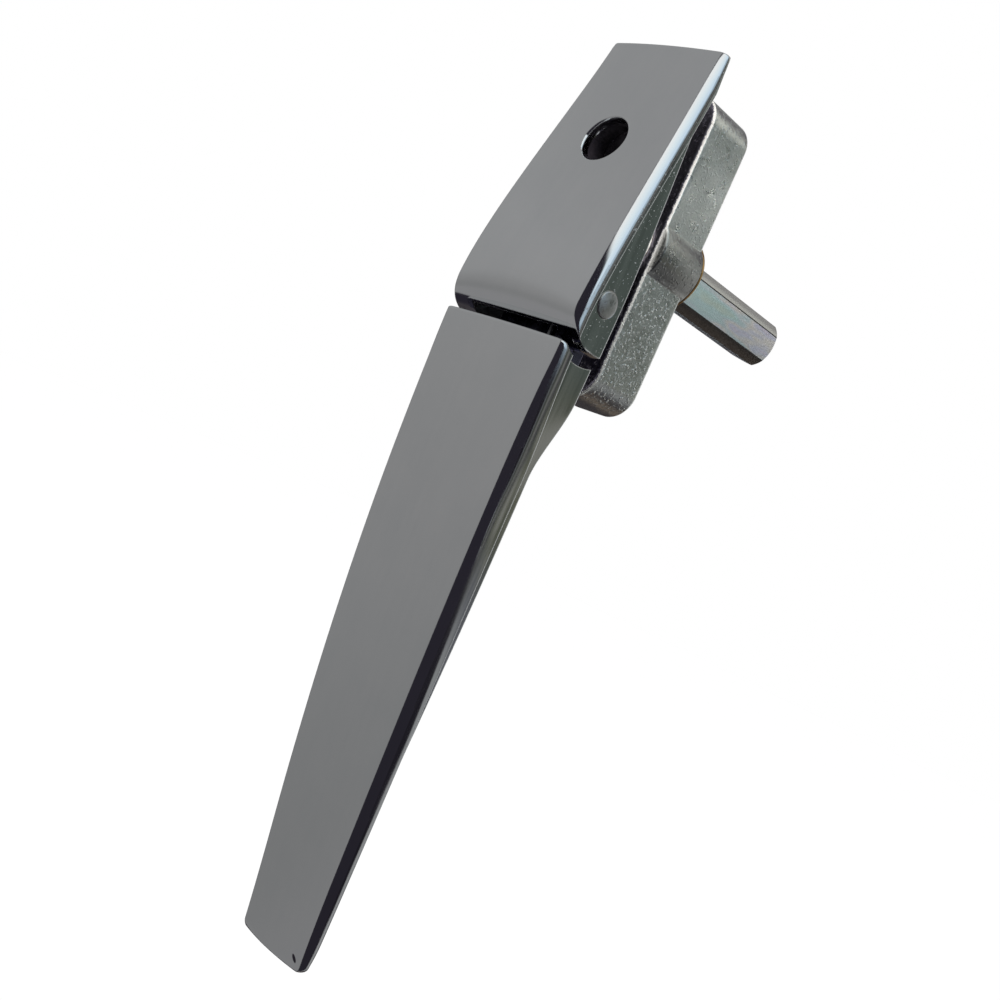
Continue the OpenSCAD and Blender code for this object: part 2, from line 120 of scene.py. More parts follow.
def rounded(points, reach, steps=6):
    """Points along a polyline whose inner corners are rounded."""
    out = [points[0]]
    for i in range(1, len(points) - 1):
        p, q, r = (np.array(points[j], float) for j in (i - 1, i, i + 1))
        lp, lr = np.linalg.norm(p - q), np.linalg.norm(r - q)
        d = min(reach[i - 1], 0.48 * lp, 0.48 * lr)
        a, b = q + (p - q) / lp * d, q + (r - q) / lr * d
        for k in range(steps + 1):
            t = k / steps
            out.append(tuple(a * (1 - t) ** 2 + 2 * q * t * (1 - t) + b * t * t))
    out.append(points[-1])
    return out


def outline(w, y, rim, back, roll, bevel=BEVEL_W):
    """Closed section of a casting: crowned face, rolled edges, set-in walls, flat back."""
    wall = w - INSET
    back = max(back, y + rim + 0.6)
    share = min(rim, 5.0) / 5.0
    face = [(k * w, y - CROWN * (1 - k * k)) for k in np.linspace(0, 0.92, 24)]
    a, b = np.array((w, y)), np.array((w + 0.68 * bevel, y + mix(0.2, 1.3, roll) * share))
    c, d = np.array((w + bevel, y + mix(0.9, 2.6, roll) * share)), np.array((w + bevel, y + rim))
    edge = []
    for k in range(1, 15):
        t = 0.15 + 0.85 * k / 14
        edge.append(tuple(a * (1 - t) ** 3 + 3 * b * t * (1 - t) ** 2 + 3 * c * t * t * (1 - t) + d * t**3))
    turn = rounded([face[-1], (w, y), edge[0]], [0.6])
    foot = rounded([edge[-2], edge[-1], (wall, y + rim + 0.3), (wall, back), (0.0, back)], [0.3, 0.3, 0.35])
    right = face[:-1] + turn[:-1] + edge[:-2] + foot
    left = [(-x, v) for x, v in right[1:-1]][::-1]
    return np.array(right + left)


def drawn_in(section, d):
    """A section drawn in by d at its sides, front and back."""
    lo, hi = section.min(0), section.max(0)
    half, mid = (hi - lo) / 2, (hi + lo) / 2
    return mid + (section - mid) * (1 - d / half)


def put(name, verts, faces, material=0, smooth=True):
    """A mesh object; material is one slot number, or one for each face."""
    mesh = bpy.data.meshes.new(name)
    mesh.from_pydata([tuple(float(c) * MM for c in v) for v in verts], [], faces)
    mesh.validate()
    for _ in range(4):
        mesh.materials.append(None)
    for p in mesh.polygons:
        p.use_smooth = smooth
        p.material_index = material if isinstance(material, int) else material[p.index]
    obj = bpy.data.objects.new(name, mesh)
    bpy.context.scene.collection.objects.link(obj)
    return obj


def outward(obj):
    """Turns the faces so that the solid has a positive volume."""
    mesh = obj.data
    volume = 0.0
    for p in mesh.polygons:
        v = [mesh.vertices[i].co for i in p.vertices]
        for a, b in zip(v[1:-1], v[2:]):
            volume += v[0].dot(a.cross(b))
    if volume < 0:
        mesh.flip_normals()
    return obj


def skin(name, rows, material=0, smooth=True):
    """Closed solid through rows of points that all have the same length."""
    n, m = len(rows[0]), len(rows)
    faces = [tuple(range(n))[::-1]]
    for j in range(m - 1):
        for i in range(n):
            a, b = j * n + i, j * n + (i + 1) % n
            faces.append((a, b, b + n, a + n))
    faces.append(tuple(range((m - 1) * n, m * n)))
    return outward(put(name, [p for row in rows for p in row], faces, material, smooth))


def along_z(sections):
    return [[(x, y, z) for x, y in s] for z, s in sections]


def cuboid(name, lo, hi, material=1):
    (a, b, c), (d, e, f) = lo, hi
    rows = [[(a, b, z), (d, b, z), (d, e, z), (a, e, z)] for z in (c, f)]
    return skin(name, rows, material, False)


def lathe(name, profile, axis, centre, steps=128, material=1):
    """Solid turned about an X or Y line through centre; profile holds (radius, place along the axis)."""
    rows = []
    for r, v in profile:
        ring = []
        for k in range(steps):
            a = 2 * math.pi * k / steps
            if axis == "x":
                ring.append((v, centre[1] + r * math.cos(a), centre[2] + r * math.sin(a)))
            else:
                ring.append((centre[0] + r * math.cos(a), v, centre[2] + r * math.sin(a)))
        rows.append(ring)
    return skin(name, rows, material)


def combine(obj, tool, how="DIFFERENCE"):
    mod = obj.modifiers.new("combine", "BOOLEAN")
    mod.object, mod.operation, mod.solver = tool, how, "EXACT"
    mod.material_mode = "INDEX"
    bpy.context.view_layer.update()
    made = bpy.data.meshes.new_from_object(obj.evaluated_get(bpy.context.evaluated_depsgraph_get()))
    obj.modifiers.clear()
    obj.data = made
    bpy.data.objects.remove(tool)
    return obj


def crisp(obj, angle=35):
    obj.data.set_sharp_from_angle(angle=math.radians(angle))


def keep_normals(obj, source, angle=28):
    """Sharp cut edges, and on the uncut skin the smooth normals that it had before it was cut."""
    mesh = obj.data
    mesh.set_sharp_from_angle(angle=math.radians(angle))
    normals = [Vector(n.vector) for n in mesh.corner_normals]
    verts = [v.co.copy() for v in source.vertices]
    polys = [tuple(p.vertices) for p in source.polygons]
    tree = BVHTree.FromPolygons(verts, polys)
    bend = [v.normal.copy() for v in source.vertices]
    for p in mesh.polygons:
        if p.material_index != 0:
            continue
        for li in p.loop_indices:
            co = mesh.vertices[mesh.loops[li].vertex_index].co
            at, _, index, gap = tree.find_nearest(co)
            if index is None or gap > 2e-5 or len(polys[index]) > 4:
                continue
            ids = polys[index]
            n = Vector((0, 0, 0))
            for share, i in zip(poly_3d_calc([verts[i] for i in ids], at), ids):
                n += bend[i] * share
            normals[li] = n.normalized()
    mesh.normals_split_custom_set([tuple(n) for n in normals])


# Materials

class Tree:
    """Short forms for building a node tree."""

    def __init__(self, tree):
        self.tree = tree

    def add(self, kind, *links, **values):
        n = self.tree.nodes.new(kind)
        for key, value in values.items():
            if key.startswith("i_"):
                n.inputs[key[2:].replace("_", " ")].default_value = value
            else:
                setattr(n, key, value)
        for socket, source in links:
            self.tree.links.new(source, n.inputs[socket])
        return n

    def math(self, how, a, b=None, c=None):
        n = self.tree.nodes.new("ShaderNodeMath")
        n.operation = how
        for i, v in enumerate((a, b, c)):
            if v is None:
                continue
            if isinstance(v, (int, float)):
                n.inputs[i].default_value = v
            else:
                self.tree.links.new(v, n.inputs[i])
        return n.outputs[0]

    def step(self, v, lo, hi, a=0.0, b=1.0):
        n = self.add("ShaderNodeMapRange", ("Value", v), interpolation_type="SMOOTHSTEP")
        for name, x in zip(("From Min", "From Max", "To Min", "To Max"), (lo, hi, a, b)):
            n.inputs[name].default_value = x
        return n.outputs[0]

    def ramp(self, v, stops):
        n = self.add("ShaderNodeValToRGB", ("Fac", v))
        e = n.color_ramp.elements
        while len(e) < len(stops):
            e.new(0.5)
        for item, (at, colour) in zip(e, sorted(stops)):
            item.position = at
            item.color = (*colour, 1)
        return n.outputs["Color"]

    def level(self, v, stops):
        """A ramp of plain numbers."""
        return self.ramp(v, [(at, (x, x, x)) for at, x in stops])

    def blend(self, fac, a, b):
        n = self.tree.nodes.new("ShaderNodeMix")
        n.data_type, n.blend_type = "RGBA", "MIX"
        for i, v in ((0, fac), (6, a), (7, b)):
            if isinstance(v, (int, float)):
                n.inputs[i].default_value = v
            elif isinstance(v, tuple):
                n.inputs[i].default_value = (*v, 1)
            else:
                self.tree.links.new(v, n.inputs[i])
        return n.outputs[2]

    def noise(self, vector, scale, detail=3.0, rough=0.55):
        n = self.add("ShaderNodeTexNoise", ("Vector", vector))
        n.inputs["Scale"].default_value = scale
        n.inputs["Detail"].default_value = detail
        n.inputs["Roughness"].default_value = rough
        return n.outputs["Fac"]

    def stretch(self, vector, scale):
        return self.add("ShaderNodeMapping", ("Vector", vector), i_Scale=scale).outputs[0]


def material(name):
    m = bpy.data.materials.new(name)
    m.use_nodes = True
    t = Tree(m.node_tree)
    shader = m.node_tree.nodes["Principled BSDF"]
    where = t.add("ShaderNodeTexCoord").outputs["Object"]
    return m, t, shader, where


def wire(t, shader, **links):
    for key, source in links.items():
        t.tree.links.new(source, shader.inputs[key.replace("_", " ")])


def rounding(t, radius):
    n = t.tree.nodes.new("ShaderNodeBevel")
    n.samples = 6
    n.inputs["Radius"].default_value = radius
    return n.outputs[0]


def bumped(t, height, distance, strength=1.0, normal=None):
    n = t.tree.nodes.new("ShaderNodeBump")
    n.inputs["Strength"].default_value = strength
    n.inputs["Distance"].default_value = distance
    t.tree.links.new(height, n.inputs["Height"])
    if normal is not None:
        t.tree.links.new(normal, n.inputs["Normal"])
    return n.outputs[0]


def make_chrome():
    m, t, shader, where = material("chrome_plate")
    shader.inputs["Metallic"].default_value = 1.0
    streak = t.noise(t.stretch(where, (700, 400, 30)), 1.0, 4.0)
    cloud = t.noise(where, 110.0, 4.0)
    tone = t.math("ADD", t.math("MULTIPLY", streak, 0.35), t.math("MULTIPLY", cloud, 0.65))
    colour = t.ramp(tone, [(0.3, (0.78, 0.792, 0.8)), (0.7, (0.82, 0.826, 0.83))])
    part = t.add("ShaderNodeSeparateXYZ", ("Vector", where))
    # Painted shade: the plating darkens by up to a tenth towards the tip, from 80 mm to 150 mm below the
    # spindle's axis.
    colour = t.blend(t.step(part.outputs["Z"], -0.08, -0.15, 0.0, 0.1), colour, (0.0, 0.0, 0.0))
    # A small dark mark in the plating close to the tip.
    off = t.math("POWER", t.math("DIVIDE", t.math("SUBTRACT", part.outputs["X"], 0.0077), 0.0007), 2.0)
    slant = t.math("MULTIPLY_ADD", part.outputs["X"], -0.7, 0.00539)
    up = t.math("SUBTRACT", t.math("ADD", part.outputs["Z"], 0.1516), slant)
    off = t.math("ADD", off, t.math("POWER", t.math("DIVIDE", up, 0.0005), 2.0))
    mark = t.math("MULTIPLY", t.step(off, 1.2, 0.6), t.step(part.outputs["Y"], -0.006, -0.007))
    colour = t.blend(mark, colour, (0.06, 0.055, 0.07))
    rough = t.step(tone, 0.3, 0.75, 0.05, 0.1)
    wave = t.noise(where, 90.0, 1.0)
    wire(t, shader, Base_Color=colour, Roughness=rough,
         Normal=bumped(t, wave, 0.00003, 0.6, rounding(t, 0.00035)))
    return m


def make_wall():
    m, t, shader, where = material("chrome_wall")
    shader.inputs["Metallic"].default_value = 1.0
    part = t.add("ShaderNodeSeparateXYZ", ("Vector", where))
    speck = t.step(t.noise(where, 2100.0, 2.0), 0.66, 0.74)
    speck = t.math("MULTIPLY", speck, t.step(part.outputs["Z"], -0.027, -0.02))
    cloud = t.noise(t.stretch(where, (150, 700, 25)), 1.0, 3.0)
    colour = t.ramp(cloud, [(0.32, (0.48, 0.49, 0.48)), (0.68, (0.64, 0.645, 0.64))])
    colour = t.blend(speck, colour, (0.85, 0.87, 0.85))
    rough = t.math("ADD", t.step(cloud, 0.3, 0.7, 0.06, 0.14), t.math("MULTIPLY", speck, 0.45))
    wire(t, shader, Base_Color=colour, Roughness=rough,
         Normal=bumped(t, speck, 0.00004, 0.8, rounding(t, 0.00035)))
    return m


def make_inner():
    m, t, shader, where = material("chrome_inside")
    shader.inputs["Metallic"].default_value = 0.9
    grain = t.noise(where, 1500.0, 4.0)
    cloud = t.noise(where, 120.0, 3.0)
    colour = t.ramp(cloud, [(0.3, (0.2, 0.205, 0.2)), (0.7, (0.3, 0.305, 0.3))])
    wire(t, shader, Base_Color=colour, Roughness=t.step(grain, 0.3, 0.7, 0.35, 0.55),
         Normal=bumped(t, grain, 0.0001, 0.5, rounding(t, 0.0003)))
    return m


# Painted shade: a dark navy plating that stands in for the shade in the lever's hollow and on the tongue.
def make_painted_shade():
    m, t, shader, where = material("plating_painted_shade")
    shader.inputs["Metallic"].default_value = 1.0
    cloud = t.noise(where, 260.0, 3.0)
    wire(t, shader, Base_Color=t.ramp(cloud, [(0.3, (0.1, 0.095, 0.15)), (0.7, (0.16, 0.155, 0.22))]),
         Roughness=t.step(cloud, 0.3, 0.7, 0.15, 0.3),
         Normal=bumped(t, cloud, 0.0001, 0.4, rounding(t, 0.0003)))
    return m


# Painted shade: a near-black colour that stands in for the shade deep in the lock hole, in the bolt hole
# and in the pin bore.
def make_bore():
    m, t, shader, where = material("bore_painted_shade")
    shader.inputs["Metallic"].default_value = 0.3
    cloud = t.noise(where, 500.0, 3.0)
    wire(t, shader, Base_Color=t.ramp(cloud, [(0.3, (0.012, 0.011, 0.016)), (0.7, (0.03, 0.026, 0.03))]),
         Roughness=t.step(cloud, 0.3, 0.7, 0.3, 0.5), Normal=bumped(t, cloud, 0.0001, 0.4))
    return m


def make_cast():
    m, t, shader, where = material("raw_casting")
    grain = t.noise(where, 3000.0, 2.0, 0.6)
    lump = t.noise(where, 420.0, 2.0)
    dots = t.step(t.noise(where, 1400.0, 1.0), 0.55, 0.74)
    stain = t.noise(where, 90.0, 3.0)
    tone = t.math("ADD", t.math("MULTIPLY", grain, 0.5), t.math("MULTIPLY", stain, 0.5))
    colour = t.ramp(tone, [(0.36, (0.54, 0.555, 0.52)), (0.64, (0.84, 0.855, 0.81))])
    height = t.math("ADD", t.math("MULTIPLY", grain, 0.16), t.math("MULTIPLY", dots, 0.55))
    part = t.add("ShaderNodeSeparateXYZ", ("Vector", where))
    ragged = t.math("ADD", part.outputs["Y"], t.math("MULTIPLY", t.math("SUBTRACT", grain, 0.5), 0.0005))
    # Painted shade: the front face of the base, which lies close behind the head, is coloured dark purple.
    front = t.step(ragged, 0.00026, 0.00016)
    upper = t.step(part.outputs["Z"], -0.03, 0.012, 0.25, 1.0)
    worn = t.math("MULTIPLY", t.step(ragged, 0.0008, 0.0006), upper)
    # The boss stands out past the side walls; its colour is darkened as painted shade, by about a third on
    # top and most of all below, and it is hardly worn.
    boss = t.step(t.math("ABSOLUTE", part.outputs["X"]), 0.0096, 0.0102)
    worn = t.math("MULTIPLY", worn, t.math("MULTIPLY_ADD", boss, -0.85, 1.0))
    below = t.step(part.outputs["Z"], 0.006, -0.004, 0.3, 0.8)
    colour = t.blend(t.math("MULTIPLY", boss, below), colour, (0.16, 0.155, 0.145))
    colour = t.blend(worn, colour, (0.55, 0.53, 0.5))
    colour = t.blend(front, colour, (0.3, 0.28, 0.34))
    dull = t.math("MULTIPLY", worn, t.math("SUBTRACT", 1.0, front))
    wire(t, shader, Base_Color=colour, Roughness=t.step(lump, 0.3, 0.7, 0.26, 0.34),
         Metallic=t.math("MULTIPLY_ADD", dull, -0.8, 1.0),
         Normal=bumped(t, height, 0.00014, 1.0, rounding(t, 0.0004)))
    return m


def make_zinc():
    m, t, shader, where = material("zinc_plate")
    shader.inputs["Metallic"].default_value = 0.75
    cloud = t.noise(t.stretch(where, (240, 50, 240)), 1.0, 2.0)
    line = t.noise(t.stretch(where, (600, 12, 600)), 1.0, 1.0)
    cloud = t.math("ADD", cloud, t.math("MULTIPLY", t.math("SUBTRACT", line, 0.5), 0.12))
    colour = t.ramp(cloud, [
        (0.32, (0.46, 0.56, 0.52)), (0.42, (0.42, 0.57, 0.58)), (0.5, (0.48, 0.56, 0.6)),
        (0.57, (0.6, 0.58, 0.57)), (0.64, (0.5, 0.52, 0.64)), (0.72, (0.6, 0.52, 0.6))])
    # The flats end in thin dark lines; their lower part carries painted shade, and the corners between them
    # a painted reflection, grey above and dark below.
    part = t.add("ShaderNodeSeparateXYZ", ("Vector", where))
    squares = [t.math("POWER", part.outputs[axis], 2.0) for axis in ("X", "Z")]
    r = t.math("SQRT", t.math("ADD", *squares))
    dark = t.math("MULTIPLY", t.step(r, 0.00574, 0.0058), t.step(r, 0.005895, 0.00588))
    # Painted shade: the flats darken below the spindle's axis.
    low = t.step(part.outputs["Z"], 0.002, -0.005)
    colour = t.blend(t.math("MULTIPLY", low, 0.4), colour, (0.2, 0.24, 0.26))
    # Painted reflection on the corners between the flats: grey above the axis, near black below it.
    corners = t.blend(t.step(part.outputs["Z"], 0.001, -0.001), (0.4, 0.4, 0.37), (0.06, 0.055, 0.05))
    colour = t.blend(t.step(r, 0.00586, 0.00589), colour, corners)
    colour = t.blend(dark, colour, (0.03, 0.03, 0.03))
    wire(t, shader, Base_Color=colour, Roughness=t.step(line, 0.3, 0.7, 0.06, 0.1),
         Normal=bumped(t, line, 0.00002, 0.3))
    return m


def make_steel(name, dark, light, rough):
    m, t, shader, where = material(name)
    shader.inputs["Metallic"].default_value = 1.0
    line = t.noise(where, 900.0, 4.0)
    cloud = t.noise(where, 200.0, 3.0)
    tone = t.math("ADD", t.math("MULTIPLY", line, 0.6), t.math("MULTIPLY", cloud, 0.4))
    wire(t, shader, Base_Color=t.ramp(tone, [(0.3, dark), (0.7, light)]),
         Roughness=t.step(line, 0.3, 0.7, rough, rough + 0.15),
         Normal=bumped(t, line, 0.00008, 0.6, rounding(t, 0.0002)))
    return m


def make_nylon():
    m, t, shader, where = material("nylon")
    shader.inputs["Metallic"].default_value = 0.0
    cloud = t.noise(where, 400.0, 3.0)
    wire(t, shader, Base_Color=t.ramp(cloud, [(0.3, (0.6, 0.58, 0.53)), (0.7, (0.72, 0.7, 0.65))]),
         Roughness=t.step(cloud, 0.3, 0.7, 0.45, 0.6), Normal=bumped(t, cloud, 0.00005, 0.4))
    return m


chrome, inner, cast, wall = make_chrome(), make_inner(), make_cast(), make_wall()
bore, painted_shade = make_bore(), make_painted_shade()
zinc, nylon = make_zinc(), make_nylon()
bronze = make_steel("bronze", (0.5, 0.3, 0.12), (0.66, 0.42, 0.18), 0.25)
bare = make_steel("bare_steel", (0.3, 0.31, 0.32), (0.46, 0.47, 0.49), 0.25)
peened = make_steel("peened_steel", (0.4, 0.4, 0.39), (0.58, 0.58, 0.57), 0.25)


def dress(obj, body, slot, *materials, stands_for=None):
    mesh = obj.data
    index = np.zeros(len(mesh.polygons), dtype=np.int32)
    mesh.polygons.foreach_get("material_index", index)
    mesh.materials.clear()
    for m in materials:
        mesh.materials.append(m)
    mesh.polygons.foreach_set("material_index", np.minimum(index, len(materials) - 1))
    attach(obj, body)
    if stands_for:
        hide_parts(stands_for)
    return obj


def mark_walls(obj, index):
    """Gives the flat side walls of a casting a material of their own."""
    for p in obj.data.polygons:
        if p.material_index == 0 and abs(p.normal.x) > 0.97 and abs(p.center.x) > 0.004:
            p.material_index = index


# Head

def nose_front(z):
    d = PIN_Z - z
    return PIN_Y - math.sqrt(max(NOSE_R**2 - d * d, 0)) if d > 0 else -99.0


def head_section(z):
    s = outline(float(head_w(z)), float(head_y(z)), head_rim(z), HEAD_BACK, 0.85)
    if z < PIN_Z + 1:
        front = nose_front(z)
        s[:, 1] = smooth_max(s[:, 1], np.full(len(s), front), 0.9)
        d = max(PIN_Z - z, 0)
        s[:, 1] = np.minimum(s[:, 1], max(PIN_Y + math.sqrt(max(NOSE_R**2 - d * d, 0)), front + 0.02))
        s[:, 1] = np.minimum(s[:, 1], HEAD_BACK)
    return s


rows = []
for k in range(6):
    a = math.pi / 2 * (1 - k / 5)
    z = HEAD_TOP - HEAD_TOP_EDGE * (1 - math.sin(a))
    rows.append((z, drawn_in(head_section(HEAD_TOP), HEAD_TOP_EDGE * (1 - math.cos(a)))))
for z in np.linspace(HEAD_TOP - HEAD_TOP_EDGE, PIN_Z, 100)[1:]:
    rows.append((z, head_section(z)))
for k in range(1, 41):
    z = PIN_Z - NOSE_R * math.sin(math.radians(2 * k))
    rows.append((z, head_section(z)))
head = skin("head_shell", along_z(rows))
head_skin = head.data.copy()

cavity = []
for z in np.linspace(HEAD_TOP - HEAD_WALL, PIN_Z - 4, 40):
    x, y = float(head_w(z)) - INSET - HEAD_WALL, float(head_y(z)) + HEAD_FACE
    cavity.append([(-x, 1, z), (-x, y, z), (x, y, z), (x, 1, z)])
x, y = 16.3 - INSET - HEAD_WALL, -20.95 + HEAD_FACE
cavity.append([(-x, 1, PIN_Z - 13), (-x, y, PIN_Z - 13), (x, y, PIN_Z - 13), (x, 1, PIN_Z - 13)])
combine(head, skin("cut", cavity, 1, False))
lock_boss = [(LOCK_R + LOCK_WALL, -13.2), (LOCK_R + LOCK_WALL, HEAD_BACK)]
combine(head, lathe("boss", lock_boss, "y", (0, 0, LOCK_Z)), "UNION")
combine(head, cuboid("cut", (0.04 - CHEEK_IN, -40, -60), (CHEEK_IN - 0.04, 20, PIN_Z - LIP_DROP)))


def face_y(x, z):
    return float(head_y(z)) - CROWN * (1 - (x / float(head_w(z))) ** 2)


# Cut for the lock hole, with a rounded lip that follows the crowned face.
rings = [(0.62, -4.0), (LOCK_LIP, 0.0)]
for k in range(1, 9):
    a = math.pi / 2 * k / 8
    rings.append((LOCK_LIP * (1 - math.sin(a)), LOCK_LIP_DEPTH * (1 - math.cos(a))))
rings += [(0.0, 2.0), (0.0, None)]
rows = []
for reach, depth in rings:
    row = []
    for k in range(128):
        a = 2 * math.pi * k / 128
        c, s = math.cos(a), math.sin(a)
        top = face_y((LOCK_R + LOCK_LIP) * c, LOCK_Z + (LOCK_R + LOCK_LIP) * s)
        r = LOCK_R + reach
        row.append((r * c, HEAD_BACK - 1.5 if depth is None else top + depth - 0.01, LOCK_Z + r * s))
    rows.append(row)
# The deepest stretch of the lock hole and its floor take slot 2, painted near black as shade.
plated = 1 + 128 * (len(rows) - 2)
slots = [0] * plated + [2] * 129
combine(head, skin("cut", rows, slots))
combine(head, lathe("cut", [(2.0, -11), (2.0, HEAD_BACK + 1)], "y", (0, 0, LOCK_Z), 64, 2))
combine(head, lathe("cut", [(PIN_R + 0.01, -40), (PIN_R + 0.01, 40)], "x", (0, PIN_Y, PIN_Z), 96, 2))
keep_normals(head, head_skin)
mark_walls(head, 3)
dress(head, "head", "chrome", chrome, inner, bore, wall, stands_for="head_casting")

ends = [(PIN_R - PIN_CHAMFER * (1 - math.sin(a)), PIN_CHAMFER * math.cos(a))
        for a in np.radians(np.linspace(90, 10, 6))]
ends += [(r, PIN_CHAMFER + PIN_DOME * (1 - (r / 2.3) ** 2)) for r in (2.1, 1.7, 1.2, 0.7, 0.25)]
half = float(head_w(PIN_Z)) - INSET
profile = [(r, -half - v) for r, v in ends[::-1]] + [(r, half + v) for r, v in ends]
pin = lathe("hinge_pin_bar", profile, "x", (0, PIN_Y, PIN_Z), 96, 0)
dress(pin, "head", "peened_steel", peened, stands_for="hinge_pin")

profile = [(NECK_R, NECK_FRONT), (NECK_R, NECK_SHOULDER), (HUB_R, NECK_SHOULDER), (HUB_R, HUB_END)]
neck = lathe("head_neck", profile, "y", (0, 0, 0), 96, 0)
crisp(neck)
dress(neck, "head", "chrome", inner)
rib = cuboid("head_rib", (-11.4, NECK_FRONT, -1.2), (11.4, -9.8, 1.2), 0)
dress(rib, "head", "chrome", inner)

# Lever

def corner(d, r=0.6):
    """How much narrower a rounded corner of the plan makes a section at distance d from the end."""
    return r - math.sqrt(r * r - (r - min(d, r)) ** 2)


def thinner(z):
    """How much depth the last stretch before the tip loses."""
    return 0.8 * clamp((LEVER_TIP + 7 - z) / 7) ** 2


def lever_section(z, narrow=0.0, less=0.0):
    pinch = 0.6 * clamp((LEVER_TIP + 20 - z) / 20) ** 2
    return outline(float(lever_w(z)) - narrow + pinch, float(lever_y(z)), lever_rim(z) - less,
                   lever_back(z) - less, lever_roll(z), BEVEL_W - pinch)


rows = []
for k in range(6):
    a = math.pi / 2 * (1 - k / 5)
    z = LEVER_TOP - LEVER_TOP_EDGE * (1 - math.sin(a))
    rows.append((z, drawn_in(lever_section(z, corner(LEVER_TOP - z)), LEVER_TOP_EDGE * (1 - math.cos(a)))))
for z in np.linspace(LEVER_TOP - 0.6, LEVER_TIP + LEVER_TIP_R, 170):
    rows.append((z, lever_section(z, 0.0, thinner(z))))
for k in range(1, 9):
    a = math.radians(80 * k / 8)
    z, less = LEVER_TIP + LEVER_TIP_R * (1 - math.sin(a)), LEVER_TIP_R * (1 - math.cos(a))
    rows.append((z, lever_section(z, less, less + thinner(z))))
lever = skin("lever_shell", along_z(rows))
lever_skin = lever.data.copy()
cavity = []
for z in np.linspace(CAVITY_TOP, CAVITY_END, 60):
    x, y = float(lever_w(z)) - INSET - LEVER_WALL, float(lever_y(z)) + LEVER_FACE
    cavity.append([(-x, 1, z), (-x, y, z), (x, y, z), (x, 1, z)])
combine(lever, skin("cut", cavity, 1, False))
# The hollow's faces take slot 3, the plating painted dark as shade.
combine(lever, lathe("cut", [(HOLLOW_R, -40), (HOLLOW_R, 40)], "x", (0, PIN_Y, PIN_Z), 256, 3))
keep_normals(lever, lever_skin)
mark_walls(lever, 2)
dress(lever, "lever", "chrome", chrome, inner, wall, painted_shade, stands_for="lever_casting")


def knuckle(a0, a1, steps):
    """Points on the knuckle's round between two angles."""
    return [(PIN_Y + KNUCKLE_R * math.cos(a), PIN_Z + KNUCKLE_R * math.sin(a))
            for a in np.radians(np.linspace(a0, a1, steps))]


profile = [(-7.9, TONGUE_END)] + knuckle(0, 90, 25)
profile += [(PIN_Y, PIN_Z + 6.2), (PIN_Y - 4.3, PIN_Z + 6.2), (PIN_Y - 4.3, PIN_Z)]
profile += knuckle(180, 286.6, 30) + [(-10.9, TONGUE_END)]
tongue = skin("lever_tongue", [[(x, y, z) for y, z in profile] for x in (-TONGUE_W, TONGUE_W)])
combine(tongue, lathe("cut", [(2.64, -40), (2.64, 40)], "x", (0, PIN_Y, PIN_Z), 96, 0))
combine(tongue, cuboid("cut", (-SLOT_W, -40, PIN_Z - 4.8), (SLOT_W, 40, 40), 0))
crisp(tongue)
# The tongue wears the plating painted dark as shade.
dress(tongue, "lever", "chrome", painted_shade)
for k in (1, 2):
    z = mix(CAVITY_TOP, CAVITY_END, k / 3)
    x = float(lever_w(z)) - INSET - 2.1
    bar = cuboid("lever_rib_%d" % k, (-x, float(lever_y(z)) + 2.2, z - 1), (x, lever_back(z) - 1, z + 1), 0)
    dress(bar, "lever", "chrome", inner)

# Base

def base_outline(inset):
    r, x, z = BASE_CORNER - inset, BASE_W - BASE_CORNER, BASE_H - BASE_CORNER
    out = []
    for sx, sz, a0 in ((1, 1, 0), (-1, 1, 90), (-1, -1, 180), (1, -1, 270)):
        for k in range(17):
            a = math.radians(a0 + 90 * k / 16)
            out.append((sx * x + r * math.cos(a), sz * z + r * math.sin(a)))
    return out


def edge_round(k):
    """Depth below the front or rear, and outline, at step k of the rounded edge."""
    a = math.pi / 2 * k / 6
    return BASE_EDGE * (1 - math.sin(a)), base_outline(BASE_EDGE * (1 - math.cos(a)))


rows = [[(x, depth, z) for x, z in ring] for depth, ring in map(edge_round, range(6, -1, -1))]
for y in np.linspace(BASE_EDGE, BASE_D - BASE_EDGE, 8)[1:-1]:
    rows.append([(x, y, z) for x, z in base_outline(0)])
rows += [[(x, BASE_D - depth, z) for x, z in ring] for depth, ring in map(edge_round, range(7))]
base = skin("base_block", rows)
rows = []
for inset, y in ((0.3, 0.5), (0.0, 0.9), (0.0, 13.5), (0.12, 13.78), (0.4, 13.9)):
    r = BOSS_R - inset
    rows.append([(side * BOSS_OFFSET + r * math.cos(a), y, r * math.sin(a))
                 for side, a0 in ((1, -90), (-1, 90)) for a in np.radians(np.linspace(a0, a0 + 180, 49))])
combine(base, skin("boss", rows), "UNION")
combine(base, lathe("cut", [(BUSH_R, -1), (BUSH_R, 15)], "y", (0, 0, 0), 128, 0))
for s in (-1, 1):
    combine(base, lathe("cut", [(FIXING_R, -1), (FIXING_R, 15)], "y", (0, 0, FIXING_Z * s), 64, 0))
crisp(base)
dress(base, "base", "raw_casting", cast, stands_for="base_casting")

for name, m in (("bearing_bush", bronze), ("thrust_washer", nylon), ("hinge_washers", nylon),
                ("spindle", zinc), ("rear_washer", zinc), ("spindle_roll_pin", bare),
                ("retaining_ring", bare), ("lever_spring", bare)):
    nodes[name].data.materials.clear()
    nodes[name].data.materials.append(m)

# Surroundings: glossy rays see a studio painted by direction, diffuse rays one grey, the camera white.

